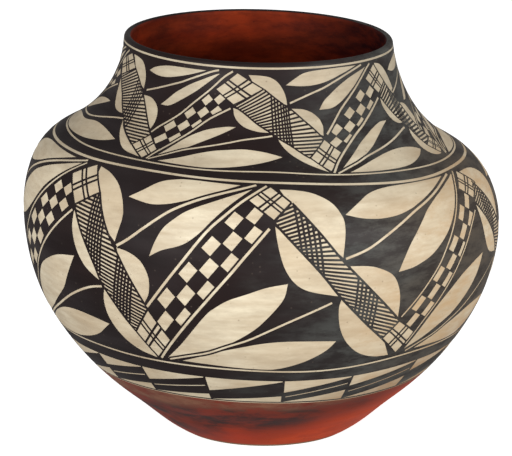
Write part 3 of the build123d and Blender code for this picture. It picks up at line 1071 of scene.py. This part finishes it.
for left, right, slants, crossings in (
    ([(-9.8, 290.5), (-5, 285), (-0.5, 278.7), (4.5, 273), (6.4, 270.1), (10.5, 265), (15, 257.6),
      (16, 256.3)],
     [(2.2, 302), (7.7, 294.6), (10.9, 290.6), (13.2, 287.7), (16.8, 281.5), (20, 275.8), (22.6, 269.8)],
     [1.1, 0.8, 0.35, 0.1, 0.1],
     [((angle, 255), (angle, 300)) for angle in (4.9, 6.1, 7.2, 8.4, 9.4, 10.3, 11.2)]),
    ([(-73.8, 294.4), (-70, 289.8), (-65, 283.6), (-61, 277.3), (-54.6, 268), (-51.7, 262.7),
      (-43.3, 252.3)],
     [(-61.2, 303.6), (-57.5, 298.7), (-55, 295), (-51.7, 289.8), (-48, 282.5), (-42.5, 270.6),
      (-38.9, 262.9)],
     [0.85, 0.7, 0.25, 0.08, 0.0],
     [((angle, 255), (angle, 300)) for angle in np.arange(-56.8, -49.8, 1.4)]),
    ([(55.3, 292), (58.4, 283.6), (60.9, 277.4), (63.4, 272.7), (65.3, 267.2), (66.5, 260.2), (67.5, 254)],
     [(61.6, 299.8), (64.6, 293), (67.1, 288.3), (69, 282.8), (70.9, 275.8), (72.8, 266.4), (74.6, 257.8)],
     [1.0, 0.6, 0.2, 0.05, 0.0],
     [((angle, 260), (angle, 295)) for angle in np.arange(63.2, 67.5, 1.0)]),
):
    neck.hatch(left, right, slants, gap=2.4, crossings=crossings, line=1.2)
    for side in (left, right):
        neck.stroke("ink", side, width=1.1)
for corners in (
    [(-17.4, 300.4), (-9.8, 290.8), (2, 302.2), (-8.5, 312.3)],
    [(-79, 304.5), (-73.8, 294.4), (-61.2, 303.4), (-66.5, 312.4)],
    [(48.9, 304.2), (55.5, 293.4), (61.8, 299.7), (55.9, 312.2)],
    [(-43.3, 252.5), (-36.3, 243.4), (-33.2, 253), (-38.7, 262.8)],
    [(16, 256.5), (21.2, 245), (27.4, 259.7), (22.7, 269.5)],
    [(67.5, 254), (70.9, 244.4), (77, 250.8), (74.6, 258)],
):
    neck.block(corners, line=0.9)
neck.paint("neck_paint")

# Painting of the hem
# A black band under the hem line and a row of slanting black bars below it, which leave cream wedges over
# and under each bar. Two bars in three are split by a thin line.
BAND_SHARE, BAND_MARGIN = 0.74, 0.03
LINE_SHARE = 0.03
RED_GAP = 0.0009
BAR_SIDES, BAR_FOOT = (0.012, 0.985), 0.04
SPLIT_SIDES, SPLIT_WIDTH, UNSPLIT = (0.04, 0.97), 0.03, 3
BAR_EDGES = (-53, -36, -16.5, 5.8, 26, 49, 68.5, 88, 107.5, 127)
BAR_SHARES = ((0.44, 0.24), (0.38, 0.2), (0.32, 0.24), (0.36, 0.33), (0.44, 0.33))

hem = Register(red_edge + RED_GAP, hem_line - HEM_GAP, BAR_EDGES[:1], BAR_EDGES[1:2], width=1.95, tall=33.0)


def hem_wedge(left, right, *corners):
    """Four-sided shape in a bar between its two edges, by shares across the bar and up the hem."""
    across, up = np.array(corners).T
    angle = left + (right - left) * across
    low, high = along(hem.low, angle), along(hem.high, angle)
    return np.stack([angle, (low + (high - low) * up) * 1000], -1)


for bar, (left, right) in enumerate(zip(BAR_EDGES, BAR_EDGES[1:])):
    start, end = BAR_SHARES[bar % len(BAR_SHARES)]
    top = BAND_SHARE - BAND_MARGIN
    near, far = BAR_SIDES
    hem.draw(
        "cream",
        hem_wedge(left, right, (near, BAND_SHARE), (near, start), (far, top), (far, BAND_SHARE)),
        hem_wedge(left, right, (near, LINE_SHARE), (far, LINE_SHARE), (far, end), (near, BAR_FOOT)),
    )
    if (bar + 1) % UNSPLIT:
        low, high = (start + BAR_FOOT) / 2, (end + top) / 2
        near, far = SPLIT_SIDES
        split = (near, low), (far, high), (far, high + SPLIT_WIDTH), (near, low + SPLIT_WIDTH)
        hem.draw("cream", hem_wedge(left, right, *split))
hem.paint("hem_paint")

# Stage
# A plain white floor and sky with a soft lamp on each side. A long lens looks down a little on the jar, from
# the place that fits the outline in the photo.
FLOOR_HALF = 6
VIEW_ANGLE, VIEW_DISTANCE, VIEW_HEIGHT = np.radians(14.0), 2.0, 0.128
LENS, SHIFT_ACROSS, SHIFT_UP = 218.2, -0.01745, 0.00436

floor_mesh = bpy.data.meshes.new("floor")
floor_corners = [(FLOOR_HALF * x, FLOOR_HALF * y, 0) for x, y in ((-1, -1), (1, -1), (1, 1), (-1, 1))]
floor_mesh.from_pydata(floor_corners, [], [(0, 1, 2, 3)])
floor = placed("floor", floor_mesh)
pale = bpy.data.materials.new("pale_floor")
pale.use_nodes = True
pale_shader = pale.node_tree.nodes["Principled BSDF"]
pale_shader.inputs["Base Color"].default_value = (0.92, 0.92, 0.92, 1)
pale_shader.inputs["Emission Color"].default_value = (1, 1, 1, 1)
pale_shader.inputs["Emission Strength"].default_value = 0.8
pale_shader.inputs["Roughness"].default_value = 0.9
floor_mesh.materials.append(pale)
floor.visible_diffuse = floor.visible_glossy = False

world = bpy.data.worlds.new("studio")
world.use_nodes = True
world.node_tree.nodes["Background"].inputs["Color"].default_value = (1, 1, 1, 1)
world.node_tree.nodes["Background"].inputs["Strength"].default_value = 0.32
bpy.context.scene.world = world


def softbox(name, place, aim, size, power):
    """Square lamp at a place, turned to face a point."""
    lamp = bpy.data.lights.new(name, "AREA")
    lamp.size, lamp.energy = size, power
    box = placed(name, lamp)
    box.location = place
    box.rotation_euler = (Vector(aim) - Vector(place)).to_track_quat("-Z", "Y").to_euler()


softbox("key", place=(-1.3, -1.9, 0.5), aim=(0, 0, 0.14), size=0.9, power=44)
softbox("fill", place=(1.7, -1.5, 0.45), aim=(0, 0, 0.12), size=1.0, power=38)

camera = placed("camera", bpy.data.cameras.new("camera"))
camera.data.lens = LENS
camera.data.shift_x, camera.data.shift_y = SHIFT_ACROSS, SHIFT_UP
camera.location = (
    -LEAN * belly_share,
    -VIEW_DISTANCE * np.cos(VIEW_ANGLE),
    VIEW_HEIGHT + VIEW_DISTANCE * np.sin(VIEW_ANGLE),
)
camera.rotation_euler = (np.pi / 2 - VIEW_ANGLE, 0, 0)
bpy.context.scene.camera = camera
bpy.context.scene.view_settings.view_transform = "Standard"
